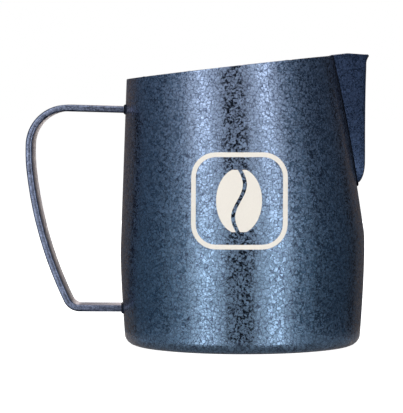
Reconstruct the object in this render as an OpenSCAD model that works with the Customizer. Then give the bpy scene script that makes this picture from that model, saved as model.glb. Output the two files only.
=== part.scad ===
// Milk frothing pitcher: a one-piece cup with a slanted rim, a folded pouring spout
// welded into a notch at the front, and a flat strap handle welded to the back wall.
// +Z is up, +X is the pouring side, the handle is at -X. Units are millimetres.

/* [Cup] */
// Widest diameter of the cup
belly_d = 92.12; // [70:0.02:130]
// Height of the widest ring above the table
belly_z = 35; // [20:0.5:60]
// Diameter that the lower wall tapers to at the table, before the corner is rounded
foot_d = 88.4; // [64:0.1:126]
// Radius of the outer bottom corner
corner_r = 4; // [1.5:0.1:8]
// Thickness of the drawn steel wall
wall_t = 0.8; // [0.5:0.05:1.5]
// How far the front wall leans in for each millimetre of height
front_lean = 0.155; // [0:0.005:0.3]
// Height at which the front wall turns in
front_turn_z = 41.6; // [38:0.1:60]
// Half height of the stretch over which the front wall turns in
front_turn_half = 2.4; // [1:0.1:3]
// How far the back wall leans in for each millimetre of height
back_lean = 0.036; // [0:0.002:0.2]
// Depth of the pressed-up middle of the bottom
bottom_recess = 1.2; // [0.5:0.1:3]
// Width of the flat ring that the cup stands on
foot_ring_w = 2.6; // [1.5:0.1:6]

/* [Rim] */
// Height of the rim at the back
rim_back_z = 100; // [70:0.5:140]
// Slope of the rim, rising towards the spout, in degrees
rim_slope = 6.45; // [0:0.05:15]

/* [Spout] */
// Height of the toe, where the spout leaves the cup
toe_z = 61; // [45:0.5:80]
// Half width of the notch at the toe
toe_half_w = 1.5; // [0.8:0.1:4]
// How fast the notch widens on each side for each millimetre of height
notch_widen = 0.225; // [0.1:0.005:0.4]
// Distance from the cup axis to the outside of the spout's keel
keel_x = 46.2; // [40:0.1:60]
// Distance from the cup axis to the keel at the very toe
toe_x = 43.5; // [40:0.1:50]
// Height over which the toe rounds out to the keel
toe_round_h = 8.5; // [4:0.5:16]
// How far the lip flicks out beyond the keel
lip_flick = 1.1; // [0:0.1:3]
// Height of the flicked part of the lip
lip_flick_h = 3.2; // [1:0.1:8]
// Roundness of the keel, from sharp to soft, at the rim
keel_soft = 2.3; // [0.8:0.1:5]

/* [Handle] */
// Thickness of the strap
strap_t = 2.5; // [1.5:0.1:4]
// Width of the strap
strap_w = 14; // [8:0.5:22]
// Bevel along the strap's long edges
strap_bevel = 0.55; // [0.2:0.05:1]
// Height of the upper bar where it meets the back wall
upper_bar_z = 88.55; // [60:0.05:100]
// Rise of the upper bar away from the wall, in degrees
upper_bar_rise = 1.5; // [0:0.1:10]
// Distance from the cup axis to the start of the upper bend
upper_bend_x = 65.66; // [56:0.02:80]
// Bend radius at the top, to the middle of the strap
upper_bend_r = 14.3; // [8:0.1:25]
// Angle that the upper bend turns through
upper_bend_turn = 90.6; // [80:0.1:100]
// Straight stretch below the upper bend
grip_straight = 1.8; // [0.5:0.1:30]
// Radius of the first long curve of the grip
grip_r1 = 62.8; // [30:0.1:200]
// Angle of the first long curve
grip_turn1 = 6.9; // [2:0.1:15]
// Radius of the second long curve of the grip
grip_r2 = 148; // [80:1:300]
// Angle of the second long curve
grip_turn2 = 19.2; // [10:0.1:30]
// Bend radius at the bottom, to the middle of the strap
lower_bend_r = 7.9; // [4:0.1:15]
// How far the weld bead stands out around the strap's ends
weld_out = 0.8; // [0.3:0.1:2]
// How far the weld bead reaches along the strap
weld_along = 1.1; // [0.5:0.1:2.5]

/* [Hidden] */
$fn = 240;
belly_r = belly_d / 2;
foot_r = foot_d / 2;
back_turn_half = 4;
top_z = 125;
coat = [0.16, 0.22, 0.36];
strap_coat = [0.24, 0.28, 0.38];
weld_coat = [0.12, 0.14, 0.2];

// ---- Cup wall: a front line and a back line, with a circle between them at each height.

// Distance above a turn, eased over the stretch where the wall bends.
function past(z, turn, half) =
    z < turn - half ? 0 : z < turn + half ? pow(z - turn + half, 2) / (4 * half) : z - turn;
function front_x(z) = belly_r - front_lean * past(z, front_turn_z, front_turn_half);
function back_x(z) = belly_r - back_lean * past(z, belly_z, back_turn_half);
// Radius and centre of the cup's round section at a height.
function cup_r(z) = (front_x(z) + back_x(z)) / 2;
function cup_c(z) = (front_x(z) - back_x(z)) / 2;
// The lower wall curves in gently from the belly to the foot.
function low_r(z) = belly_r - (belly_r - foot_r) * pow((belly_z - z) / belly_z, 1.5);

// Heights between which the upper wall is made of straight leaning cones.
turns = [belly_z - back_turn_half, belly_z, front_turn_z - front_turn_half, front_turn_z,
         front_turn_z + front_turn_half, top_z];
low_top = turns[0];

// Side outline of the lower cup, set in from the outside by a wall thickness.
function corner(inset) = [
    for (a = [0 : 15 : 90])
        [low_r(corner_r) - corner_r + (corner_r - inset) * sin(a),
         corner_r - (corner_r - inset) * cos(a)]
];
function side(inset) = [
    for (s = [1 : 5])
        let (z = corner_r + (low_top - corner_r) * s / 5)
        [(s < 5 ? low_r(z) : cup_r(low_top)) - inset, z]
];

// One leaning cone of the wall between two heights.
module leaning_cone(za, zb, inset) {
    lean = (cup_c(zb) - cup_c(za)) / (zb - za);
    multmatrix([[1, 0, lean, cup_c(za)],
                [0, 1, 0, 0],
                [0, 0, 1, za],
                [0, 0, 0, 1]])
        cylinder(h = zb - za, r1 = cup_r(za) - inset, r2 = cup_r(zb) - inset);
}

module cup_solid(inset) {
    rotate_extrude()
        polygon(concat([[0, inset]], corner(inset), side(inset), [[0, low_top]]));
    for (i = [0 : len(turns) - 2])
        leaning_cone(turns[i], turns[i + 1], inset);
}

// ---- Rim and notch.

function rim_z(x) = rim_back_z + tan(rim_slope) * (x + back_x(rim_back_z));
function notch_half(z) = toe_half_w + notch_widen * (z - toe_z);

module above_rim() {
    translate([0, 0, rim_z(0)])
        rotate([0, -rim_slope, 0])
            translate([-100, -100, 0])
                cube([200, 200, 60]);
}

module notch() {
    translate([15, 0, 0])
        rotate([90, 0, 90])
            linear_extrude(height = 60)
                polygon([[-notch_half(toe_z), toe_z],
                         [notch_half(toe_z), toe_z],
                         [notch_half(top_z), top_z],
                         [-notch_half(top_z), top_z]]);
}

module body_shell() {
    floor_r = low_r(corner_r) - corner_r - foot_ring_w;
    color(coat)
        difference() {
            cup_solid(0);
            difference() {
                cup_solid(wall_t);
                // the raised middle of the floor
                translate([0, 0, -1])
                    cylinder(h = 1 + bottom_recess + wall_t, r = floor_r + wall_t);
            }
            // the recess under the bottom, with a sloping edge
            translate([0, 0, -1])
                cylinder(h = 1 + bottom_recess, r = floor_r - wall_t);
            cylinder(h = bottom_recess, r1 = floor_r, r2 = floor_r - bottom_recess);
            above_rim();
            notch();
        }
}

// ---- Spout: a folded channel, drawn as rings of an outside and an inside line.

across = 24;
up = 26;

function keel(z) =
    (z < toe_z + toe_round_h
        ? toe_x + (keel_x - toe_x) * sqrt(1 - pow((toe_z + toe_round_h - z) / toe_round_h, 2))
        : keel_x)
    + 0.35 * pow(max(0, (z - 80) / 26), 2)
    + lip_flick * pow(max(0, (z - lip_base) / lip_flick_h), 2);
// Where the notch edge lies on the outside (inset 0) or inside (inset = wall) of the cup.
function edge_x(z, inset) = cup_c(z) + sqrt(pow(cup_r(z) - inset, 2) - pow(notch_half(z), 2));
// Height at which the notch edge reaches the rim, found by stepping towards it.
function edge_top(inset, z = 105, n = 12) =
    n == 0 ? z : edge_top(inset, rim_z(edge_x(z, inset)), n - 1);
lip_top = edge_top(0) + 0.15;
lip_base = lip_top - lip_flick_h;

// Fold shape: 0 at the notch edges, 1 at the keel, rounded over by softness e.
function fold(u, e) = 1 - (sqrt(u * u + e * e) - e) / (sqrt(1 + e * e) - e);
function softness(z) = keel_soft / (notch_half(z) + 0.5);
function spout_top(u, inset) =
    let (f = fold(u, softness(edge_top(0))))
    edge_top(inset) + 2.45 * f - 2.3 * f * f;
function spout_z(u, v, inset) = toe_z + v * (spout_top(u, inset) - toe_z);
function spout_x(u, z, inset) =
    let (e = edge_x(z, inset))
    e + max(0.05, keel(z) - 1.3 * inset - e) * fold(u, softness(z));
function spout_point(i, j, inset) =
    let (u = -1 + 2 * i / across, z = spout_z(u, j / up, inset))
    [spout_x(u, z, inset), u * notch_half(z), z];

// Triangles of a tube of rings: each ring has k points and there are n + 1 rings.
function tube_faces(k, n) = [
    for (j = [0 : n - 1], i = [0 : k - 1])
        let (a = j * k + i, b = j * k + (i + 1) % k, c = a + k, d = b + k)
        each [[a, c, b], [b, c, d]]
];

module pouring_spout() {
    k = 2 * (across + 1);
    points = [
        for (j = [0 : up])
            each concat([for (i = [0 : across]) spout_point(i, j, 0)],
                        [for (i = [across : -1 : 0]) spout_point(i, j, wall_t)])
    ];
    low_cap = [for (i = [0 : across - 1])
        each [[i, i + 1, k - 1 - i], [i + 1, k - 2 - i, k - 1 - i]]];
    high_cap = [for (f = low_cap) [f[2] + up * k, f[1] + up * k, f[0] + up * k]];
    color(coat)
        polyhedron(points = points, faces = concat(tube_faces(k, up), low_cap, high_cap));
}

// ---- Weld seams beside the spout: a low bead in the fold between cup and spout.

function seam_ring(s, j) =
    let (z = spout_z(1, j / up, 0),
         w = notch_half(z),
         r = cup_r(z),
         a = asin(w / r),
         b = a + 0.65 / r * 180 / PI,
         x = edge_x(z, 0),
         u = 1 - 0.5 / w,
         sx = spout_x(u, z, 0))
    [[x, s * w, z],
     [cup_c(z) + r * cos(b), s * r * sin(b), z],
     [cup_c(z) + (r + 0.28) * cos(a + 0.2), s * (r + 0.28) * sin(a + 0.2), z],
     [sx + 0.03, s * (u * w + 0.03), z]];

module spout_weld(s) {
    points = [for (j = [0 : up]) each seam_ring(s, j)];
    last = 4 * up;
    ends = [[0, 1, 2], [0, 2, 3], [last, last + 2, last + 1], [last, last + 3, last + 2]];
    // The bead's sides fold along the other diagonal than the spout's, which keeps it full.
    sides = [
        for (j = [0 : up - 1], i = [0 : 3])
            let (a = 4 * j + i, b = 4 * j + (i + 1) % 4, c = a + 4, d = b + 4)
            each [[a, c, d], [a, d, b]]
    ];
    faces = concat(sides, ends);
    color(weld_coat)
        polyhedron(points = points,
                   faces = s > 0 ? faces : [for (f = faces) [f[0], f[2], f[1]]]);
}

module spout_weld_left() {
    spout_weld(1);
}

module spout_weld_right() {
    spout_weld(-1);
}

// ---- Handle: one flat strap, bent from the upper wall round to the lower wall. Its middle
// line lies in the XZ plane and is a chain of straight runs and bends to the left.

function after_run(p, h, length) = p + length * [cos(h), sin(h)];
function after_bend(p, h, r, turn) = p + r * [sin(h + turn) - sin(h), cos(h) - cos(h + turn)];

h0 = 180 - upper_bar_rise;
h1 = h0 + upper_bend_turn;
h2 = h1 + grip_turn1;
h3 = h2 + grip_turn2;
wall_in = 40;
wall_start = [-wall_in, upper_bar_z - tan(upper_bar_rise) * (43 - wall_in)];
p0 = after_run(wall_start, h0, (upper_bend_x - wall_in) / cos(upper_bar_rise));
p1 = after_bend(p0, h0, upper_bend_r, upper_bend_turn);
p2 = after_run(p1, h1, grip_straight);
p3 = after_bend(p2, h1, grip_r1, grip_turn1);
p4 = after_bend(p3, h2, grip_r2, grip_turn2);
p5 = after_bend(p4, h3, lower_bend_r, 360 - h3);
lower_bar_z = p5[1];

// Stations along a bend, as a point and a heading, without the bend's first point.
function bend_stations(p, h, r, turn, n) =
    [for (i = [1 : n]) [after_bend(p, h, r, turn * i / n), h + turn * i / n]];

stations = concat(
    [[wall_start, h0], [p0, h0]],
    bend_stations(p0, h0, upper_bend_r, upper_bend_turn, 18),
    [[p2, h1]],
    bend_stations(p2, h1, grip_r1, grip_turn1, 4),
    bend_stations(p3, h2, grip_r2, grip_turn2, 10),
    bend_stations(p4, h3, lower_bend_r, 360 - h3, 14),
    [[[-wall_in, lower_bar_z], 360]]
);

// The strap's section: thickness to the left of the heading, width along Y.
function strap_section() =
    let (t = strap_t / 2, w = strap_w / 2, b = strap_bevel)
    [[-t + b, -w], [t - b, -w], [t, -w + b], [t, w - b],
     [t - b, w], [-t + b, w], [-t, w - b], [-t, -w + b]];

module strap_blank() {
    section = strap_section();
    k = len(section);
    last = (len(stations) - 1) * k;
    points = [
        for (s = stations, q = section)
            [s[0][0] - q[0] * sin(s[1]), -q[1], s[0][1] + q[0] * cos(s[1])]
    ];
    start_cap = [for (i = [1 : k - 2]) [0, i, i + 1]];
    end_cap = [for (i = [1 : k - 2]) [last, last + i + 1, last + i]];
    polyhedron(points = points,
               faces = concat(tube_faces(k, len(stations) - 1), start_cap, end_cap));
}

module handle_strap() {
    color(strap_coat)
        difference() {
            strap_blank();
            cup_solid(0);
        }
}

// ---- Handle welds: a bead around each end of the strap, tapering away from the wall.

// Places things at the inner end of the upper bar, heading out along -X.
module at_upper_wall() {
    translate([wall_start[0], 0, wall_start[1]])
        rotate([90, 0, 0])
            rotate([0, 0, h0])
                children();
}

// A block around the strap that tapers from the wall outwards.
module bead(x_wall) {
    a = strap_t / 2 + weld_out;
    b = strap_w / 2 + weld_out;
    c = strap_t / 2 + 0.12;
    d = strap_w / 2 + 0.12;
    near = x_wall - 6;
    far = x_wall + weld_along;
    polyhedron(
        points = [[near, -a, -b], [near, a, -b], [near, a, b], [near, -a, b],
                  [x_wall - 0.1, -a, -b], [x_wall - 0.1, a, -b],
                  [x_wall - 0.1, a, b], [x_wall - 0.1, -a, b],
                  [far, -c, -d], [far, c, -d], [far, c, d], [far, -c, d]],
        faces = [[0, 1, 2, 3],
                 [4, 5, 1, 0], [5, 6, 2, 1], [6, 7, 3, 2], [7, 4, 0, 3],
                 [8, 9, 5, 4], [9, 10, 6, 5], [10, 11, 7, 6], [11, 8, 4, 7],
                 [11, 10, 9, 8]]);
}

module upper_handle_weld() {
    wall_x = back_x(upper_bar_z);
    color(weld_coat)
        difference() {
            at_upper_wall()
                bead((wall_x - wall_in) / cos(upper_bar_rise));
            cup_solid(0);
            strap_blank();
        }
}

module lower_handle_weld() {
    color(weld_coat)
        difference() {
            translate([0, 0, lower_bar_z])
                rotate([90, 0, 180])
                    bead(low_r(lower_bar_z));
            cup_solid(0);
            strap_blank();
        }
}

body_shell();
pouring_spout();
spout_weld_left();
spout_weld_right();
handle_strap();
upper_handle_weld();
lower_handle_weld();
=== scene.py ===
# %% [markdown]
# # A milk frothing pitcher
#
# A barista steams milk in this jug and pours it from the narrow spout. It is a thin steel cup with a
# slanted rim, a folded spout welded into a notch at the front, and one flat strap bent into a handle. We
# load the CAD frame first. It gives the true sizes, and every piece we model has to fit it.

# %% Load the frame
import math
import bmesh
import bpy
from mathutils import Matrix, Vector


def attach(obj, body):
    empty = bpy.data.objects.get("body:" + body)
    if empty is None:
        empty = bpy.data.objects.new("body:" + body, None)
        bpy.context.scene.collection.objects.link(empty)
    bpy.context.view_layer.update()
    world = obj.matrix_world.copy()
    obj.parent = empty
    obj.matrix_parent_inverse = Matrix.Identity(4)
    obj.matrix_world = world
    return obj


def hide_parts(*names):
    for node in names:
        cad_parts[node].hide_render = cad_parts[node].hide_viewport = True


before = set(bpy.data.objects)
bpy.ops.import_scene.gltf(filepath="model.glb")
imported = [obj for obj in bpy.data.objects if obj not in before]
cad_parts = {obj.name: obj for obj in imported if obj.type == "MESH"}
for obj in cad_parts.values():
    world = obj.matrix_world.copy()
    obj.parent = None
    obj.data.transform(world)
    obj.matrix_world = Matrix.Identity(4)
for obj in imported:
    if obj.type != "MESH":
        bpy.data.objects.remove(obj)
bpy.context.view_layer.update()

# %% [markdown]
# ## The camera
#
# A product is usually shot from about a metre away with a long lens, so that its sides stay nearly
# parallel. The camera stands a little to the spout's side and at the height of the rim, and looks slightly
# down. It is made first, because the rest is judged through it.

# %% Make the camera
def look_from(thing, place, target):
    """Puts a camera or a lamp at a place and turns it to face a target."""
    thing.location = place
    thing.rotation_euler = (Vector(target) - Vector(place)).to_track_quat("-Z", "Y").to_euler()


LENS_MM = 230.85
CAMERA_PLACE = (0.04126, -0.99927, 0.0983)
CAMERA_TARGET = (-0.01544, -0.00088, 0.05194)
camera_data = bpy.data.cameras.new("studio_camera")
camera_data.lens = LENS_MM
camera = bpy.data.objects.new("studio_camera", camera_data)
bpy.context.scene.collection.objects.link(camera)
look_from(camera, CAMERA_PLACE, CAMERA_TARGET)
bpy.context.scene.camera = camera
print("camera lens", camera_data.lens, "mm")

# %% [markdown]
# ## The cup's outline
#
# The cup is round at every height, but it isn't a plain cone. The back wall stands almost upright and the
# front wall leans in, so the round section gets smaller and also moves back as it rises. One function gives
# the radius and one gives the centre. They are the same rules that the CAD part follows.

# %% Outline of the cup, in metres
MM = 0.001
BELLY_R, BELLY_Z, FOOT_R = 46.06 * MM, 35 * MM, 44.2 * MM
CORNER_R, WALL = 4 * MM, 0.8 * MM
FRONT_LEAN, FRONT_TURN, FRONT_EASE = 0.155, 41.6 * MM, 2.4 * MM
BACK_LEAN, BACK_EASE = 0.036, 4 * MM
RIM_SLOPE, RIM_BACK_Z = math.radians(6.45), 100 * MM
TOE_Z, TOE_HALF, NOTCH_WIDEN = 61 * MM, 1.5 * MM, 0.225


def past(z, turn, half):
    """How far z is above a turn in the wall, eased where the sheet bends."""
    if z < turn - half:
        return 0.0
    return (z - turn + half) ** 2 / (4 * half) if z < turn + half else z - turn


def front_x(z):
    """Distance from the axis to the front wall."""
    return BELLY_R - FRONT_LEAN * past(z, FRONT_TURN, FRONT_EASE)


def back_x(z):
    """Distance from the axis to the back wall."""
    return BELLY_R - BACK_LEAN * past(z, BELLY_Z, BACK_EASE)


def low_radius(z):
    """Radius below the widest ring, where the wall curves in gently to the foot."""
    return BELLY_R - (BELLY_R - FOOT_R) * ((BELLY_Z - z) / BELLY_Z) ** 1.5


def cup_radius(z):
    """Outer radius of the cup at a height."""
    if z < CORNER_R:
        return low_radius(CORNER_R) - CORNER_R + math.sqrt(CORNER_R ** 2 - (CORNER_R - z) ** 2)
    upper = (front_x(z) + back_x(z)) / 2
    if z >= BELLY_Z:
        return upper
    return low_radius(z) if z < BELLY_Z - BACK_EASE else min(low_radius(z), upper)


def cup_centre(z):
    """Where the middle of the round section lies along X."""
    return (front_x(z) - back_x(z)) / 2


def rim_z(x):
    """Height of the slanted rim."""
    return RIM_BACK_Z + math.tan(RIM_SLOPE) * (x + back_x(RIM_BACK_Z))


def notch_half(z):
    """Half the width of the notch for the spout."""
    return TOE_HALF + NOTCH_WIDEN * (z - TOE_Z)


def notch_edge(z):
    """Distance along X from the axis to the notch's edge on the outside of the wall."""
    return cup_centre(z) + math.sqrt(cup_radius(z) ** 2 - notch_half(z) ** 2)


rim_low, rim_high = rim_z(-back_x(RIM_BACK_Z)), rim_z(notch_edge(108.8 * MM))
print("widest", round(2000 * cup_radius(BELLY_Z), 1), "mm, rim from", round(1000 * rim_low, 1),
      "to", round(1000 * rim_high, 1), "mm high")

# %% [markdown]
# ## A few hand tools
#
# In edit mode we always do the same things: start from a primitive, pick some vertices, edges or faces by
# where they are, and pull out the next ring. These helpers do that, so that each piece below reads like a
# list of steps.

# %% Helpers for edit mode
def nothing_selected():
    """Leaves edit mode and deselects every object, so that no operator touches another piece."""
    if bpy.context.mode != "OBJECT":
        bpy.ops.object.mode_set(mode="OBJECT")
    bpy.ops.object.select_all(action="DESELECT")


def begin(name):
    """Names the new primitive, puts its origin at the world's, and opens it in edit mode, ready for edges."""
    piece = bpy.context.active_object
    piece.name = piece.data.name = name
    bpy.ops.object.transform_apply(location=True, rotation=True, scale=True)
    bpy.ops.object.mode_set(mode="EDIT")
    bpy.ops.mesh.select_mode(type="EDGE")
    return piece


def pick(kind, rule):
    """Selects the vertices, edges or faces that the rule accepts, and says how many."""
    bpy.ops.mesh.select_mode(type=kind)
    bpy.ops.mesh.select_all(action="DESELECT")
    mesh = bmesh.from_edit_mesh(bpy.context.edit_object.data)
    parts = {"VERT": mesh.verts, "EDGE": mesh.edges, "FACE": mesh.faces}[kind]
    found = [part for part in parts if rule(part)]
    for part in found:
        part.select_set(True)
    mesh.select_flush_mode()
    bmesh.update_edit_mesh(bpy.context.edit_object.data)
    return len(found)


def everything():
    """Selects the whole piece in edit mode."""
    bpy.ops.mesh.select_all(action="SELECT")


def middle(part):
    """The middle of an edge or a face."""
    return sum((v.co for v in part.verts), Vector()) / len(part.verts)


def next_ring(move, grow=(1, 1, 1), about=(0, 0, 0)):
    """Pulls out a new ring from the selected one, then scales it about a point."""
    bpy.ops.mesh.extrude_region_move(TRANSFORM_OT_translate={"value": move})
    if tuple(grow) != (1, 1, 1):
        bpy.ops.transform.resize(value=grow, center_override=about)


def leaning(angle):
    """The upward normal of a plane that rises towards the spout by an angle."""
    return (-math.sin(angle), 0, math.cos(angle))


def sharp(edge, angle=50):
    """True where the two faces at an edge meet at more than an angle in degrees."""
    return len(edge.link_faces) == 2 and edge.calc_face_angle() > math.radians(angle)


def close_up(reach):
    """Merges points that lie within reach of each other and turns every face outwards."""
    everything()
    bpy.ops.mesh.remove_doubles(threshold=reach)
    bpy.ops.mesh.normals_make_consistent(inside=False)


def looks_along(piece, axis):
    """True where a flat sheet's first face looks along an axis (0 is X, 1 is Y), and not against it."""
    return next(iter(bmesh.from_edit_mesh(piece.data).faces)).normal[axis] > 0


def apply_modifier(piece, kind, **settings):
    """Adds a modifier with its settings and applies it."""
    modifier = piece.modifiers.new(kind.title(), kind)
    for key, value in settings.items():
        setattr(modifier, key, value)
    bpy.ops.object.modifier_apply(modifier=modifier.name)


def room_for_two_finishes(piece):
    """Adds two empty material places: the first for the outside, the second for the inside."""
    for _ in range(2):
        piece.data.materials.append(None)


def thicken(piece):
    """Gives a drawn surface the sheet's thickness inwards; the new inner faces take the second finish."""
    bpy.ops.object.mode_set(mode="OBJECT")
    room_for_two_finishes(piece)
    apply_modifier(piece, "SOLIDIFY", thickness=WALL, offset=-1, use_even_offset=True, material_offset=1,
                   material_offset_rim=0)
    bpy.ops.object.mode_set(mode="EDIT")


def finish_piece(piece, slot_name, *nodes, angle=35):
    """Smooths a piece, hides the CAD nodes that it replaces, and lets it ride; slot_name is not used."""
    nothing_selected()
    piece.select_set(True)
    bpy.context.view_layer.objects.active = piece
    bpy.ops.object.transform_apply(location=True, rotation=True, scale=True)
    bpy.ops.object.shade_smooth_by_angle(angle=math.radians(angle))
    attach(piece, "root")
    if nodes:
        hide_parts(*nodes)
    size = [round(1000 * v, 1) for v in piece.dimensions]
    print(piece.name, "is", size, "mm, with", len(piece.data.polygons), "faces")


# %% [markdown]
# ## The cup
#
# The real cup is deep drawn: a disc of sheet steel is pressed into a cup, so the wall, the rounded corner
# and the bottom are one sheet. We do the same with one ring. It starts as the edge that the cup stands on
# and is extruded up, a little at a time, each new ring scaled and moved to the outline. Then the foot edge
# is picked again and pulled inwards for the pressed-up bottom.

# %% Draw the cup's sheet up from the foot ring
COLUMNS = 256
foot_flat = cup_radius(CORNER_R) - CORNER_R
nothing_selected()
bpy.ops.mesh.primitive_circle_add(vertices=COLUMNS, radius=foot_flat, fill_type="NOTHING", location=(0, 0, 0))
cup_wall = begin("cup_wall")
everything()
corner_rings = [CORNER_R * (1 - math.cos(math.radians(a))) for a in range(15, 91, 15)]
wall_rings = [z * MM for z in range(6, 46)] + [z * MM for z in range(47, 115, 2)]
z_now, c_now, r_now = 0.0, 0.0, foot_flat
for z in corner_rings + wall_rings:
    centre, radius = cup_centre(z), cup_radius(z)
    grow = radius / r_now
    next_ring((centre - c_now, 0, z - z_now), (grow, grow, 1), (centre, 0, z))
    z_now, c_now, r_now = z, centre, radius
print("drawn up to", round(1000 * z_now, 1), "mm in", len(corner_rings + wall_rings), "rings")

# %% Press up the bottom and close it
bottom_rings = ((37.9, 0), (37.5, 0.1), (37.0, 0.5), (36.5, 0.95), (36.0, 1.15), (35.4, 1.2), (20, 1.2),
                (8, 1.2))
pick("EDGE", lambda e: all(abs(v.co.z) < 1e-6 for v in e.verts))
r_now, z_now = foot_flat, 0.0
for radius, z in bottom_rings:
    grow = radius * MM / r_now
    next_ring((0, 0, z * MM - z_now), (grow, grow, 1), (0, 0, z * MM))
    r_now, z_now = radius * MM, z * MM
bpy.ops.mesh.edge_face_add()
print("the bottom is pressed up by", round(1000 * z_now, 1), "mm")

# %% [markdown]
# The sheet is too tall now. One slanted cut trims the rim, and two leaning cuts open the notch for the
# spout.

# %% Cut the notch and the rim
def in_notch_reach(face):
    """True for the faces near the notch, which the two cuts may touch."""
    spot = middle(face)
    return spot.x > 0.02 and abs(spot.y) < 0.02 and spot.z > 0.055


for side in (1, -1):
    pick("FACE", in_notch_reach)
    bpy.ops.mesh.bisect(plane_co=(0, side * TOE_HALF, TOE_Z), plane_no=(0, side, -NOTCH_WIDEN))
removed = pick("FACE", lambda f: in_notch_reach(f) and middle(f).z > TOE_Z
               and abs(middle(f).y) < notch_half(middle(f).z))
bpy.ops.mesh.delete(type="FACE")
everything()
bpy.ops.mesh.bisect(plane_co=(0, 0, rim_z(0)), plane_no=leaning(RIM_SLOPE), clear_outer=True)
close_up(0.02 * MM)
print("notch: removed", removed, "faces")

# %% [markdown]
# Solidify gives the sheet its 0.8 mm inwards. The second material of the piece goes to the new inner faces,
# so that the inside can stay bare steel. A cut sheet edge is always broken a little with a file or a
# roller, so the rim's two edges get a small bevel: that is the thin line of light along the rim.

# %% Give the wall its thickness and round the rim's edges
def at_rim(edge):
    """True for an edge that lies along the rim's cut."""
    return edge.verts[0].co.z > 90 * MM and all(abs(v.co.z - rim_z(v.co.x)) < 0.3 * MM for v in edge.verts)


thicken(cup_wall)
bevelled = pick("EDGE", lambda e: sharp(e) and at_rim(e))
bpy.ops.mesh.bevel(offset=0.22 * MM, segments=3, profile=0.5, affect="EDGES")
print("rim: bevelled", bevelled, "edges")
finish_piece(cup_wall, "cup_coat", "body_shell")

# %% [markdown]
# ## The spout
#
# The spout is a strip of sheet, folded along its middle and welded into the notch. We start from a
# triangle's outline and keep the two edges that meet at the keel. They are extruded down like a tent, ring
# by ring, each ring as wide as the notch. The fold stays sharp for now: it is rounded with a bevel
# afterwards, as a press brake's blade does it. The bevel has the same radius all the way, but the strip
# gets too narrow for it near the toe, so each stretch of the fold gets its own bevel weight.

# %% Where the fold runs
FOLD_R = 3.2 * MM
KEEL_X, TOE_X, TOE_ROUND = 46.2 * MM, 43.5 * MM, 8.5 * MM
BOW, BOW_Z, BOW_HEIGHT = 0.35 * MM, 80 * MM, 26 * MM
FLICK, FLICK_Z, FLICK_HEIGHT = 1.1 * MM, 105.7 * MM, 3.2 * MM


def keel(z):
    """Distance along X from the axis to the outside of the rounded fold."""
    out = KEEL_X
    if z < TOE_Z + TOE_ROUND:
        part = (TOE_Z + TOE_ROUND - z) / TOE_ROUND
        out = TOE_X + (KEEL_X - TOE_X) * math.sqrt(max(0, 1 - part ** 2))
    out += BOW * max(0, (z - BOW_Z) / BOW_HEIGHT) ** 2
    return out + FLICK * max(0, (z - FLICK_Z) / FLICK_HEIGHT) ** 2


def sharp_fold(z):
    """The corner of the unrounded fold, and the bevel width that brings it back to the keel."""
    half, corner, width = notch_half(z), keel(z), 0
    for _ in range(12):
        depth = max(corner - notch_edge(z), 0.1 * MM)
        leg = math.hypot(half, depth)
        width = min(min(FOLD_R, 0.28 * half) * depth / half, 0.8 * leg)
        radius = width * half / depth
        corner = keel(z) + radius * (leg / half - 1)
    return corner, width


for z in (61, 64, 70, 90, 108.8):
    corner, width = sharp_fold(z * MM)
    print("at", z, "mm the sharp fold is at", round(1000 * corner, 2), "and its bevel is",
          round(1000 * width, 2))

# %% Extrude the folded strip down to the toe
spout_rings = [109.9, 108.8, 108, 107.2, 106.4, 105.6, 104] + list(range(102, 70, -2)) + [
    69, 68, 67, 66, 65, 64.2, 63.4, 62.8, 62.2, 61.7, 61.3, 61.1, 61]
START_R, START_Z = 20 * MM, 110.5
z_now = START_Z * MM
edge_now, half_now = notch_edge(z_now), notch_half(z_now)
depth_now = sharp_fold(z_now)[0] - edge_now
nothing_selected()
bpy.ops.mesh.primitive_circle_add(vertices=3, radius=START_R, fill_type="NOTHING", location=(0, 0, z_now),
                                  rotation=(0, 0, math.radians(-90)))
spout = begin("spout_fold")
everything()
stretch = (depth_now / (1.5 * START_R), 2 * half_now / (math.sqrt(3) * START_R), 1)
bpy.ops.transform.resize(value=stretch, center_override=(-START_R / 2, 0, z_now))
bpy.ops.transform.translate(value=(edge_now + START_R / 2, 0, 0))
pick("EDGE", lambda e: abs(e.verts[0].co.x - e.verts[1].co.x) < 1e-6)
bpy.ops.mesh.delete(type="EDGE")
everything()
for z in [v * MM for v in spout_rings]:
    edge, corner, half = notch_edge(z), sharp_fold(z)[0], notch_half(z)
    depth = corner - edge
    next_ring((edge - edge_now, 0, z - z_now), (depth / depth_now, half / half_now, 1), (edge, 0, z))
    edge_now, depth_now, half_now, z_now = edge, depth, half, z
print("spout strip:", len(bmesh.from_edit_mesh(spout.data).faces), "faces")

# %% Weight the fold and round it
def on_fold(edge, low, high):
    """True for an edge of the fold between two heights in millimetres."""
    return all(abs(v.co.y) < 1e-6 and low * MM - 1e-6 < v.co.z < high * MM + 1e-6 for v in edge.verts)


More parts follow.
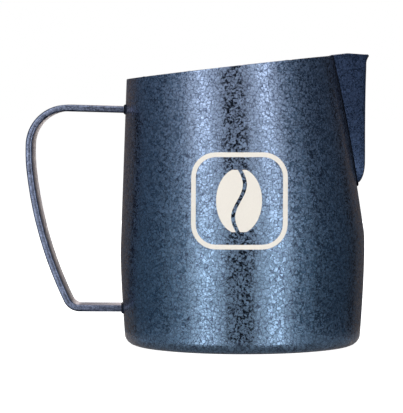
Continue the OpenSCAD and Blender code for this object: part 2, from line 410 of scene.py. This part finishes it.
widest = max(sharp_fold(v * MM)[1] for v in spout_rings)
for low, high in zip(spout_rings[1:], spout_rings[:-1]):
    pick("EDGE", lambda e: on_fold(e, low, high))
    bpy.ops.transform.edge_bevelweight(value=sharp_fold((low + high) / 2 * MM)[1] / widest)
pick("EDGE", lambda e: on_fold(e, spout_rings[0], START_Z))
bpy.ops.transform.edge_bevelweight(value=sharp_fold(110 * MM)[1] / widest)
everything()
bpy.ops.mesh.normals_make_consistent(inside=False)
if not looks_along(spout, 0):
    bpy.ops.mesh.flip_normals()
bpy.ops.object.mode_set(mode="OBJECT")
apply_modifier(spout, "BEVEL", width=widest, segments=9, limit_method="WEIGHT", offset_type="OFFSET",
               use_clamp_overlap=False)
bpy.ops.object.mode_set(mode="EDIT")
for z in (64, 72, 90, 106):
    near = [v.co.x for v in bmesh.from_edit_mesh(spout.data).verts if abs(v.co.z - z * MM) < 1.1 * MM]
    print("keel at", z, "mm is", round(1000 * max(near), 2), "and should be", round(1000 * keel(z * MM), 2))

# %% Cut the mouth and give the strip its thickness
MOUTH_RISE, MOUTH_START = math.radians(5.46), (0.03372, 0, 0.10875)
LIP_RISE, LIP_START = math.radians(-4.0), (0.04766, 0, 0.1089)
for rise, spot in ((MOUTH_RISE, MOUTH_START), (LIP_RISE, LIP_START)):
    everything()
    bpy.ops.mesh.bisect(plane_co=spot, plane_no=leaning(rise), clear_outer=True)
everything()
bpy.ops.mesh.remove_doubles(threshold=0.02 * MM)
thicken(spout)
broken = pick("EDGE", lambda e: sharp(e) and all(v.co.z > 108.3 * MM for v in e.verts)
              and abs(e.verts[0].co.z - e.verts[1].co.z) < 0.5 * MM)
bpy.ops.mesh.bevel(offset=0.2 * MM, segments=3, profile=0.5, affect="EDGES")
print("mouth: bevelled", broken, "edges")
finish_piece(spout, "spout_coat", "pouring_spout")

# %% [markdown]
# ## The weld seams of the spout
#
# The strip is welded to the notch from outside and dressed down, so only a low bead is left in the crease.
# A round bar would do, with its ring kept level as it follows the crease. At the toe it turns towards the
# middle, where the two beads meet. The faces that lie inside the cup are set apart, because the coat stops
# at the rim and the inside is bare steel. We make the left one and mirror a copy of it.

# %% Run a bead down the crease
BEAD_R, BEAD_IN = 0.85 * MM, 0.25 * MM
bead_rings = [109.4, 108.6] + list(range(107, 62, -2)) + [61.6]
toe_turn = ((42.9, 1.3, 61.0, 30), (42.95, 0.85, 60.6, 30), (43.0, 0.4, 60.45, 25), (43.0, -0.1, 60.45, 5))


def bead_centre(z):
    """The middle of the bead: in the crease, a little under the outer surface."""
    turn = math.asin(notch_half(z) / cup_radius(z))
    return notch_edge(z) - BEAD_IN * math.cos(turn), notch_half(z) - BEAD_IN * math.sin(turn)


def depth_inside(face):
    """How far a face's middle lies inside the cup's outer surface."""
    spot = middle(face)
    return cup_radius(spot.z) - math.hypot(spot.x - cup_centre(spot.z), spot.y)


z_now = 110.3 * MM
x_now, y_now = bead_centre(z_now)
nothing_selected()
bpy.ops.mesh.primitive_circle_add(vertices=12, radius=BEAD_R, fill_type="NOTHING",
                                  location=(x_now, y_now, z_now))
seam_left = begin("spout_seam_left")
everything()
for z in [v * MM for v in bead_rings]:
    x, y = bead_centre(z)
    next_ring((x - x_now, y - y_now, z - z_now))
    x_now, y_now, z_now = x, y, z
for x, y, z, turn in toe_turn:
    next_ring((x * MM - x_now, y * MM - y_now, z * MM - z_now))
    x_now, y_now, z_now = x * MM, y * MM, z * MM
    bpy.ops.transform.rotate(value=math.radians(turn), orient_axis="X", center_override=(x_now, y_now, z_now))
bpy.ops.mesh.edge_face_add()
everything()
bpy.ops.mesh.bisect(plane_co=(0, 0, rim_z(0) + 0.1 * MM), plane_no=leaning(RIM_SLOPE), clear_outer=True,
                    use_fill=True)
everything()
bpy.ops.mesh.normals_make_consistent(inside=False)
room_for_two_finishes(seam_left)
inner_faces = pick("FACE", lambda f: depth_inside(f) > 0.5 * MM)
seam_left.active_material_index = 1
bpy.ops.object.material_slot_assign()
print("bare faces on the bead's inner side:", inner_faces)

# %% Mirror a copy for the other side
nothing_selected()
seam_left.select_set(True)
bpy.context.view_layer.objects.active = seam_left
bpy.ops.object.duplicate(linked=False)
seam_right = bpy.context.active_object
seam_right.name = seam_right.data.name = "spout_seam_right"
bpy.ops.object.mode_set(mode="EDIT")
everything()
bpy.ops.transform.resize(value=(1, -1, 1), center_override=(0, 0, 0))
bpy.ops.mesh.normals_make_consistent(inside=False)
finish_piece(seam_left, "seam_coat", "spout_weld_left", angle=60)
finish_piece(seam_right, "seam_coat", "spout_weld_right", angle=60)

# %% [markdown]
# ## The handle
#
# A single flat bar, 2.5 by 14 mm, is bent on a former and welded to the back by both ends. Its middle line
# is a chain of straight runs and arcs, so we push the bar's outline along it: an extrude for each run, a
# spin for each arc. The long edges are rolled round, which a bevel does at the end.

# %% Follow the bends with the bar's outline
STRAP_T, STRAP_W = 2.5 * MM, 14 * MM
BAR_X, BAR_Z, BAR_RISE = -43.2 * MM, 88.55 * MM, 1.5
SHOULDER_X, SHOULDER_R, SHOULDER_TURN = -65.66 * MM, 14.3 * MM, 90.6
GRIP_STRAIGHT = 1.8 * MM
GRIP_CURVES = ((62.8 * MM, 6.9, 4), (148 * MM, 19.2, 10))
CAD_BEND_R, LOW_BEND_R = 7.9 * MM, 5.4 * MM


def ahead(angle, length):
    """A step in the handle's plane, at an angle from +X towards +Z."""
    return Vector((math.cos(angle) * length, 0, math.sin(angle) * length))


def run(length):
    """Extrudes the bar straight on."""
    global at
    step = ahead(heading, length)
    bpy.ops.mesh.extrude_region_move(TRANSFORM_OT_translate={"value": step})
    at += step


def bend(radius, degrees, steps):
    """Spins the bar to the left about the arc's centre."""
    global at, heading
    centre = at + ahead(heading + math.pi / 2, radius)
    turn = math.radians(degrees)
    bpy.ops.mesh.spin(steps=steps, angle=turn, center=centre, axis=(0, 1, 0))
    heading += turn
    at = centre - ahead(heading + math.pi / 2, radius)


heading = math.radians(180 - BAR_RISE)
at = Vector((BAR_X, 0, BAR_Z))
nothing_selected()
bpy.ops.mesh.primitive_plane_add(size=1, location=at, rotation=(0, -heading + math.pi / 2, 0))
strap = begin("strap_handle")
everything()
bpy.ops.transform.resize(value=(STRAP_T, STRAP_W, STRAP_T), center_override=at)
bpy.ops.mesh.delete(type="ONLY_FACE")
everything()
run((BAR_X - SHOULDER_X) / math.cos(math.radians(BAR_RISE)))
bend(SHOULDER_R, SHOULDER_TURN, 20)
run(GRIP_STRAIGHT)
for radius, degrees, steps in GRIP_CURVES:
    bend(radius, degrees, steps)
# The lower bend is tighter than the CAD's, so the grip runs on a little to reach the same corner.
run((CAD_BEND_R - LOW_BEND_R) * math.tan(math.pi - heading / 2))
bend(LOW_BEND_R, 360 - math.degrees(heading), 14)
print("lower bar at", round(1000 * at.z, 2), "mm")
run(cup_centre(at.z) - cup_radius(at.z) + 0.65 * MM - at.x)

# %% Close the ends and roll the long edges
def at_side(edge):
    """True for an edge that runs along one side of the bar."""
    first, second = (v.co.y for v in edge.verts)
    return first * second > 0 and all(abs(abs(y) - STRAP_W / 2) < 1e-6 for y in (first, second))


for upper in (True, False):
    pick("EDGE", lambda e: len(e.link_faces) == 1 and all((v.co.z > BAR_Z / 2) == upper for v in e.verts))
    bpy.ops.mesh.edge_face_add()
close_up(0.01 * MM)
rolled = pick("EDGE", lambda e: sharp(e) and at_side(e))
bpy.ops.mesh.bevel(offset=0.75 * MM, segments=4, profile=0.5, affect="EDGES", clamp_overlap=False)
print("rolled", rolled, "edges")
finish_piece(strap, "handle_coat", "handle_strap")

# %% [markdown]
# ## The handle's welds
#
# Each end of the bar sits in a raised bead. The bead follows the round wall, so a small upright rectangle
# is spun about the cup's axis for as far as the bar is wide. Its outer edges are rounded until it looks
# like run metal.

# %% Spin a bead round each end of the bar
BEAD_PAST, BEAD_OUT, BEAD_HIGH = 0.8 * MM, 1.4 * MM, 3.8 * MM


def handle_bead(name, node, z):
    """A rounded block on the wall, a little larger than the bar's end."""
    centre, radius = cup_centre(z), cup_radius(z)
    reach = math.asin((STRAP_W / 2 + BEAD_PAST) / radius)
    start = Vector((centre - radius * math.cos(reach), -radius * math.sin(reach), z))
    nothing_selected()
    bpy.ops.mesh.primitive_plane_add(size=1, location=start, rotation=(math.pi / 2, 0, reach))
    bead = begin(name)
    everything()
    bpy.ops.transform.resize(value=(BEAD_OUT, BEAD_OUT, BEAD_HIGH), center_override=start)
    bpy.ops.mesh.spin(steps=16, angle=2 * reach, center=(centre, 0, z), axis=(0, 0, 1))
    close_up(0.01 * MM)
    pick("EDGE", lambda e: sharp(e) and math.hypot(middle(e).x - centre, middle(e).y) > radius)
    bpy.ops.mesh.bevel(offset=0.65 * MM, segments=4, profile=0.5, affect="EDGES")
    finish_piece(bead, "seam_coat", node, angle=60)
    return bead


upper_z = BAR_Z + math.tan(math.radians(BAR_RISE)) * 1.5 * MM
upper_bead = handle_bead("upper_bead", "upper_handle_weld", upper_z)
lower_bead = handle_bead("lower_bead", "lower_handle_weld", at.z)

# %% [markdown]
# ## The mark on the wall
#
# The coat is lasered away on the wall's near side, down to bare steel. Here it is a plain sign of our own:
# a coffee bean in a rounded frame. It is drawn flat in front of the wall, cut into narrow strips so that it
# can curve, and wrapped onto the wall. A lasered area has almost no thickness, so 0.05 mm is plenty.

# %% Draw the frame and the bean flat
MARK_X, MARK_Z, MARK_Y = 0.6 * MM, 56 * MM, -60 * MM
FRAME_SIZE, FRAME_CORNER, FRAME_WIDTH = 35 * MM, 9 * MM, 1.7 * MM
BEAN_HALF_X, BEAN_HALF_Z, GROOVE_HALF = 8.3 * MM, 11.8 * MM, 0.75 * MM
GROOVE_SWAY, THINNEST = 2.1 * MM, 0.15 * MM
BEAN_STEPS = 20


def groove(part):
    """Sideways place of the bean's groove, from part -1 at the foot to 1 at the top."""
    return GROOVE_SWAY * math.sin(math.pi * part)


nothing_selected()
bpy.ops.mesh.primitive_plane_add(size=FRAME_SIZE, location=(MARK_X, MARK_Y, MARK_Z),
                                 rotation=(math.pi / 2, 0, 0))
mark = begin("wall_mark")
everything()
bpy.ops.mesh.bevel(offset=FRAME_CORNER, segments=8, affect="VERTICES")
bpy.ops.mesh.select_mode(type="FACE")
everything()
bpy.ops.mesh.inset(thickness=FRAME_WIDTH, depth=0)
bpy.ops.mesh.delete(type="FACE")
print("frame of the mark:", len(bmesh.from_edit_mesh(mark.data).faces), "faces")
bpy.ops.object.mode_set(mode="OBJECT")

halves = []
for side in (-1, 1):
    nothing_selected()
    bpy.ops.mesh.primitive_plane_add(size=1 * MM, location=(0, 0, 0), rotation=(math.pi / 2, 0, 0))
    half_bean = begin("bean_half")
    pick("VERT", lambda v: v.co.z > 0)
    bpy.ops.mesh.delete(type="VERT")
    everything()
    x_now, z_now, w_now = 0.0, -0.5 * MM, 1 * MM
    for step in range(1 - BEAN_STEPS, BEAN_STEPS):
        part = step / BEAN_STEPS
        outer = side * BEAN_HALF_X * math.sqrt(1 - part ** 2)
        inner = groove(part) + side * GROOVE_HALF
        if (outer - inner) * side < THINNEST:
            outer = inner + side * THINNEST
        x, z, width = MARK_X + (outer + inner) / 2, MARK_Z + part * BEAN_HALF_Z, abs(outer - inner)
        if step == 1 - BEAN_STEPS:
            bpy.ops.transform.translate(value=(x - x_now, MARK_Y, z - z_now))
            bpy.ops.transform.resize(value=(width / w_now, 1, 1), center_override=(x, MARK_Y, z))
        else:
            next_ring((x - x_now, 0, z - z_now), (width / w_now, 1, 1), (x, MARK_Y, z))
        x_now, z_now, w_now = x, z, width
    bpy.ops.object.mode_set(mode="OBJECT")
    halves.append(half_bean)
    print("bean half on side", side, "has", len(half_bean.data.polygons), "faces")

# %% Join the parts of the mark and wrap them onto the wall
nothing_selected()
for thing in (*halves, mark):
    thing.select_set(True)
bpy.context.view_layer.objects.active = mark
bpy.ops.object.join()
bpy.ops.object.mode_set(mode="EDIT")
for step in range(-17, 18):
    for spot, way in (((MARK_X + step * MM, 0, 0), (1, 0, 0)), ((0, 0, MARK_Z + step * MM), (0, 0, 1))):
        everything()
        bpy.ops.mesh.bisect(plane_co=spot, plane_no=way)
close_up(0.02 * MM)
if looks_along(mark, 1):
    bpy.ops.mesh.flip_normals()
bpy.ops.object.mode_set(mode="OBJECT")
apply_modifier(mark, "SHRINKWRAP", target=cup_wall, wrap_method="PROJECT", use_project_y=True,
               use_negative_direction=False, use_positive_direction=True, offset=0.02 * MM)
print("mark faces that look inwards:", sum(p.normal.y > 0 for p in mark.data.polygons))
apply_modifier(mark, "SOLIDIFY", thickness=0.05 * MM, offset=0)
finish_piece(mark, "bare_steel")

# %% [markdown]
# ## The crackle coat
#
# The steel is dark blue with a metallic shine, and it looks crackled all over. A finish like this could be
# made by colouring steel over a finely etched surface. Each little plate of the crackle is about 1.4 mm
# wide. The lines between the plates are dark, and some patches are smoother than others. The smooth ones
# mirror the dark room between two lamps as black specks, and their colour is also painted a little darker:
# a painted reflection of that dark room.
#
# A Voronoi texture gives the plates. Its distance to the edge draws the lines, and its random cell colour
# makes each plate a little lighter or darker. A little noise bends the lines, so that they don't look like
# a honeycomb, and a second noise chooses the smooth patches.

# %% Helpers for the node trees
def new_material(name):
    """An empty node material with a Principled shader."""
    material = bpy.data.materials.new(name)
    material.use_nodes = True
    tree = material.node_tree
    tree.nodes.clear()
    shader = tree.nodes.new("ShaderNodeBsdfPrincipled")
    output = tree.nodes.new("ShaderNodeOutputMaterial")
    tree.links.new(shader.outputs["BSDF"], output.inputs["Surface"])
    return material, tree, shader


def node(tree, kind, inputs=(), **settings):
    """Adds a node, sets its fields, and fills its inputs with values or links."""
    made = tree.nodes.new("ShaderNode" + kind)
    for key, value in settings.items():
        setattr(made, key, value)
    for key, value in dict(inputs).items():
        if isinstance(value, bpy.types.NodeSocket):
            tree.links.new(value, made.inputs[key])
        else:
            made.inputs[key].default_value = value
    return made


def math_of(tree, operation, first, second):
    """One step of arithmetic between two numbers or sockets."""
    return node(tree, "Math", {0: first, 1: second}, operation=operation).outputs[0]


def ramp(tree, value, low, high, to_low=0.0, to_high=1.0):
    """Maps a value from one range to another, clamped and eased."""
    made = node(tree, "MapRange", {"Value": value, "From Min": low, "From Max": high, "To Min": to_low,
                                   "To Max": to_high}, interpolation_type="SMOOTHSTEP")
    return made.outputs["Result"]


def mixed(tree, factor, first, second):
    """A colour between two others."""
    made = node(tree, "Mix", {"Factor": factor}, data_type="RGBA")
    for socket, value in ((made.inputs[6], first), (made.inputs[7], second)):
        if isinstance(value, bpy.types.NodeSocket):
            tree.links.new(value, socket)
        else:
            socket.default_value = (*value, 1)
    return made.outputs[2]


# %% The coat itself
PLATES_PER_M, WOBBLE = 700, 0.9 * MM


def mottle(tree, where, scale):
    """A fine uneven noise, with its scale in blotches per metre."""
    made = node(tree, "TexNoise", {"Vector": where, "Scale": scale, "Detail": 3, "Roughness": 0.6})
    return made.outputs["Fac"]


def crackle_coat(name, top, foot, line, smooth=0.12, rough=0.43, relief=0.018 * MM, specks=0.505):
    """A metallic coat of small plates with dark lines between them, from the foot's colour to the top's; a
    darker foot colour is painted shade.
    """
    material, tree, shader = new_material(name)
    where = node(tree, "TexCoord").outputs["Object"]
    wobble = node(tree, "TexNoise", {"Vector": where, "Scale": 1100, "Detail": 2})
    shift = node(tree, "VectorMath", {0: wobble.outputs["Color"], 1: (0.5, 0.5, 0.5)}, operation="SUBTRACT")
    small = node(tree, "VectorMath", {0: shift.outputs[0], "Scale": WOBBLE}, operation="SCALE")
    bent = node(tree, "VectorMath", {0: where, 1: small.outputs[0]}, operation="ADD").outputs[0]

    edges = node(tree, "TexVoronoi", {"Vector": bent, "Scale": PLATES_PER_M}, feature="DISTANCE_TO_EDGE")
    plates = node(tree, "TexVoronoi", {"Vector": bent, "Scale": PLATES_PER_M}, feature="F1")
    own = node(tree, "SeparateColor", {"Color": plates.outputs["Color"]})
    inside = ramp(tree, edges.outputs["Distance"], 0.0, 0.09)
    grain = mottle(tree, where, 2400)
    blotch = mottle(tree, where, 1250)
    patch = math_of(tree, "ADD", blotch, ramp(tree, own.outputs[1], 0, 1, -0.06, 0.06))
    speck = ramp(tree, patch, specks, specks + 0.05)

    # The plate colour blends from the foot's to the top's with height; where the foot colour is darker, it is
    # painted shade low on the wall.
    above_table = node(tree, "SeparateXYZ", {0: where}).outputs[2]
    plate = mixed(tree, ramp(tree, above_table, 20 * MM, 100 * MM), foot, top)
    tone = ramp(tree, grain, 0.3, 0.7, 0.7, 1.3)
    tone = math_of(tree, "MULTIPLY", tone, ramp(tree, own.outputs[0], 0, 1, 0.88, 1.12))
    # The smooth specks are also painted a fifth darker: a painted reflection of the dark room, on top of
    # their lower roughness.
    tone = math_of(tree, "MULTIPLY", tone, ramp(tree, speck, 0, 1, 1.0, 0.8))
    colour = mixed(tree, inside, line, plate)
    scaled = node(tree, "VectorMath", {0: colour, "Scale": tone}, operation="SCALE").outputs[0]
    tree.links.new(scaled, shader.inputs["Base Color"])
    tree.links.new(ramp(tree, speck, 0, 1, rough, smooth), shader.inputs["Roughness"])

    height = math_of(tree, "ADD", inside, math_of(tree, "MULTIPLY", grain, 0.6))
    strength = ramp(tree, speck, 0, 1, 1.0, 0.35)
    bump = node(tree, "Bump", {"Height": height, "Strength": strength, "Distance": relief})
    tree.links.new(bump.outputs["Normal"], shader.inputs["Normal"])
    shader.inputs["Metallic"].default_value = 1.0
    shader.inputs["Specular Tint"].default_value = (1.0, 0.85, 0.75, 1)
    return material


# The beads' near-black blue is partly burnt weld and partly painted shade of the spout's crease and of the
# gaps round the bar's ends.
STRAP_BLUE, BEAD_BURN_AND_SHADE = (0.24, 0.28, 0.4), (0.018, 0.022, 0.036)
# The cup's foot colour is a little darker than its top colour: painted shade low on the wall.
cup_coat = crackle_coat("blue_crackle_coat", (0.25, 0.32, 0.46), (0.205, 0.308, 0.44), (0.055, 0.072, 0.125))
# The spout has the same coat as the cup; its darker colours here are painted shade, as its face is lit less.
spout_coat = crackle_coat("spout_shaded_crackle_coat", (0.15, 0.2, 0.35), (0.135, 0.21, 0.36), (0.04, 0.06, 0.11),
                          smooth=0.22, specks=0.55)
strap_coat = crackle_coat("strap_coat", STRAP_BLUE, STRAP_BLUE, (0.12, 0.14, 0.21), smooth=0.3, rough=0.4,
                          relief=0.01 * MM)
bead_burn_and_shade_coat = crackle_coat("bead_burn_and_shade_coat", BEAD_BURN_AND_SHADE, BEAD_BURN_AND_SHADE, (0.008, 0.01, 0.016), smooth=0.35, rough=0.55)
print("coats:", [m.name for m in (cup_coat, spout_coat, strap_coat, bead_burn_and_shade_coat)])

# %% [markdown]
# ## Bare steel
#
# The inside isn't coated. It keeps fine rings from the polishing wheel, which run round the cup. They come
# from noise that changes fast with height and with distance from the axis, and slowly along the ring. The
# lasered mark is the same steel, but matte and pale, with a very fine grain.

# %% Brushed steel inside and lasered steel for the mark
inner_steel, tree, shader = new_material("brushed_steel")
spot = node(tree, "SeparateXYZ", {0: node(tree, "TexCoord").outputs["Object"]})
radius_sq = math_of(tree, "ADD", math_of(tree, "MULTIPLY", spot.outputs[0], spot.outputs[0]),
                    math_of(tree, "MULTIPLY", spot.outputs[1], spot.outputs[1]))
from_axis = math_of(tree, "SQRT", radius_sq, 0)
rings = node(tree, "CombineXYZ", {0: math_of(tree, "MULTIPLY", from_axis, 4000),
                                  1: math_of(tree, "MULTIPLY", spot.outputs[2], 4000),
                                  2: math_of(tree, "MULTIPLY", spot.outputs[0], 60)})
streaks = node(tree, "TexNoise", {"Vector": rings.outputs[0], "Scale": 1, "Detail": 4}).outputs["Fac"]
tree.links.new(mixed(tree, streaks, (0.5, 0.49, 0.47), (0.68, 0.66, 0.63)), shader.inputs["Base Color"])
tree.links.new(ramp(tree, streaks, 0.3, 0.7, 0.24, 0.4), shader.inputs["Roughness"])
bump = node(tree, "Bump", {"Height": streaks, "Strength": 0.4, "Distance": 0.01 * MM})
tree.links.new(bump.outputs["Normal"], shader.inputs["Normal"])
shader.inputs["Metallic"].default_value = 1.0

mark_steel, tree, shader = new_material("lasered_steel")
where = node(tree, "TexCoord").outputs["Object"]
grit = node(tree, "TexNoise", {"Vector": where, "Scale": 3000, "Detail": 3}).outputs["Fac"]
tree.links.new(mixed(tree, grit, (0.66, 0.61, 0.55), (0.78, 0.74, 0.67)), shader.inputs["Base Color"])
tree.links.new(ramp(tree, grit, 0.3, 0.7, 0.55, 0.75), shader.inputs["Roughness"])
bump = node(tree, "Bump", {"Height": grit, "Strength": 0.3, "Distance": 0.01 * MM})
tree.links.new(bump.outputs["Normal"], shader.inputs["Normal"])
shader.inputs["Metallic"].default_value = 0.15

# %% Give every piece its finish
for piece, finishes in ((cup_wall, (cup_coat, inner_steel)), (spout, (spout_coat, inner_steel)),
                        (seam_left, (bead_burn_and_shade_coat, inner_steel)), (seam_right, (bead_burn_and_shade_coat, inner_steel)),
                        (strap, (strap_coat,)), (upper_bead, (bead_burn_and_shade_coat,)), (lower_bead, (bead_burn_and_shade_coat,)),
                        (mark, (mark_steel,))):
    while len(piece.data.materials) < len(finishes):
        piece.data.materials.append(None)
    for place, finish in enumerate(finishes):
        piece.data.materials[place] = finish
    used = {p.material_index for p in piece.data.polygons}
    print(piece.name, [m.name for m in piece.data.materials], "uses", sorted(used))

# %% [markdown]
# ## The studio
#
# Dark shiny metal shows its surroundings more than itself. Two tall soft boxes stand left and right of the
# camera, each with a brighter core, and the gap between them is what makes the dark band down the middle of
# the cup. They are tall, so that the bands run from the rim to the foot. Weaker bluish panels stand at the
# sides and warm ones behind, so that the cup's edges don't go black, and a narrow strip behind lights the
# inner face of the handle. A lamp overhead lights the inside, and a small one on the floor stands in for
# the light that pale paper throws up.

# %% Soft boxes
def soft_box(name, azimuth, distance, width, height, radiance, colour=(1, 1, 1), middle_z=0.45):
    """A tall rectangular lamp at an angle from the camera's side, with its brightness given per area."""
    lamp = bpy.data.lights.new(name, "AREA")
    lamp.shape, lamp.size, lamp.size_y = "RECTANGLE", width, height
    lamp.energy = radiance * math.pi * width * height
    lamp.color = colour
    holder = bpy.data.objects.new(name, lamp)
    bpy.context.scene.collection.objects.link(holder)
    holder.visible_camera = False
    angle = math.radians(azimuth)
    look_from(holder, (math.sin(angle) * distance, -math.cos(angle) * distance, middle_z), (0, 0, middle_z))
    return holder


WHITE, COOL, COLD, WARM = (1, 1, 1), (0.68, 0.86, 1), (0.5, 0.76, 1), (1, 0.9, 0.85)
for name, azimuth, distance, width, height, radiance, colour in (
        ("left_box", -30, 0.9, 0.56, 1.6, 1.4, WHITE),
        ("left_core", -30, 0.88, 0.22, 1.6, 1.2, WHITE),
        ("left_side", -60, 0.9, 0.38, 1.6, 0.4, COOL),
        ("left_fill", -97, 0.9, 0.76, 1.6, 0.18, COLD),
        ("left_back", -145, 0.9, 0.7, 1.6, 0.15, WARM),
        ("right_box", 32, 0.9, 0.56, 1.6, 1.3, WHITE),
        ("right_core", 34, 0.88, 0.22, 1.6, 1.3, WHITE),
        ("right_side", 62, 0.9, 0.38, 1.6, 0.3, (0.65, 0.86, 1)),
        ("right_fill", 99, 0.9, 0.76, 1.6, 0.09, COLD),
        ("right_back", 150, 0.9, 0.5, 1.6, 0.12, WARM),
        ("back_strip", 182, 0.9, 0.2, 1.2, 2.0, WHITE)):
    soft_box(name, azimuth, distance, width, height, radiance, colour)
top_light = soft_box("top_light", 0, 0.001, 0.9, 0.9, 1.5)
look_from(top_light, (0, 0, 1.0), (0, 0, 0))
floor_light = soft_box("floor_light", 0, 0.001, 0.12, 0.12, 0.22)
look_from(floor_light, (0, 0, 0.3 * MM), (0, 0, 1))
lamps = [thing.name for thing in bpy.context.scene.objects if thing.type == "LIGHT"]
print(len(lamps), "lamps:", ", ".join(lamps))

# %% Paper floor and background
nothing_selected()
bpy.ops.mesh.primitive_plane_add(size=12, location=(0, 0, -0.1 * MM))
floor = bpy.context.active_object
floor.name = "paper_floor"
paper, tree, shader = new_material("pale_paper")
where = node(tree, "TexCoord").outputs["Object"]
fibre = node(tree, "TexNoise", {"Vector": where, "Scale": 60}).outputs["Fac"]
tree.links.new(mixed(tree, fibre, (0.84, 0.84, 0.84), (0.86, 0.86, 0.86)), shader.inputs["Base Color"])
shader.inputs["Roughness"].default_value = 0.9
shader.inputs["Emission Color"].default_value = (1, 1, 1, 1)
shader.inputs["Emission Strength"].default_value = 1.0
floor.data.materials.append(paper)
floor.visible_glossy = False

world = bpy.data.worlds.new("studio")
bpy.context.scene.world = world
world.use_nodes = True
tree = world.node_tree
tree.nodes.clear()
seen = node(tree, "LightPath").outputs["Is Camera Ray"]
dim = node(tree, "Background", {"Color": (0.03, 0.034, 0.042, 1), "Strength": 1.0})
white = node(tree, "Background", {"Color": (1, 1, 1, 1), "Strength": 1.0})
both = node(tree, "MixShader", {0: seen, 1: dim.outputs[0], 2: white.outputs[0]})
node(tree, "OutputWorld", {"Surface": both.outputs[0]})
bpy.context.scene.view_settings.view_transform = "Standard"
print("floor", [round(v, 1) for v in floor.dimensions], "m, background", world.name)
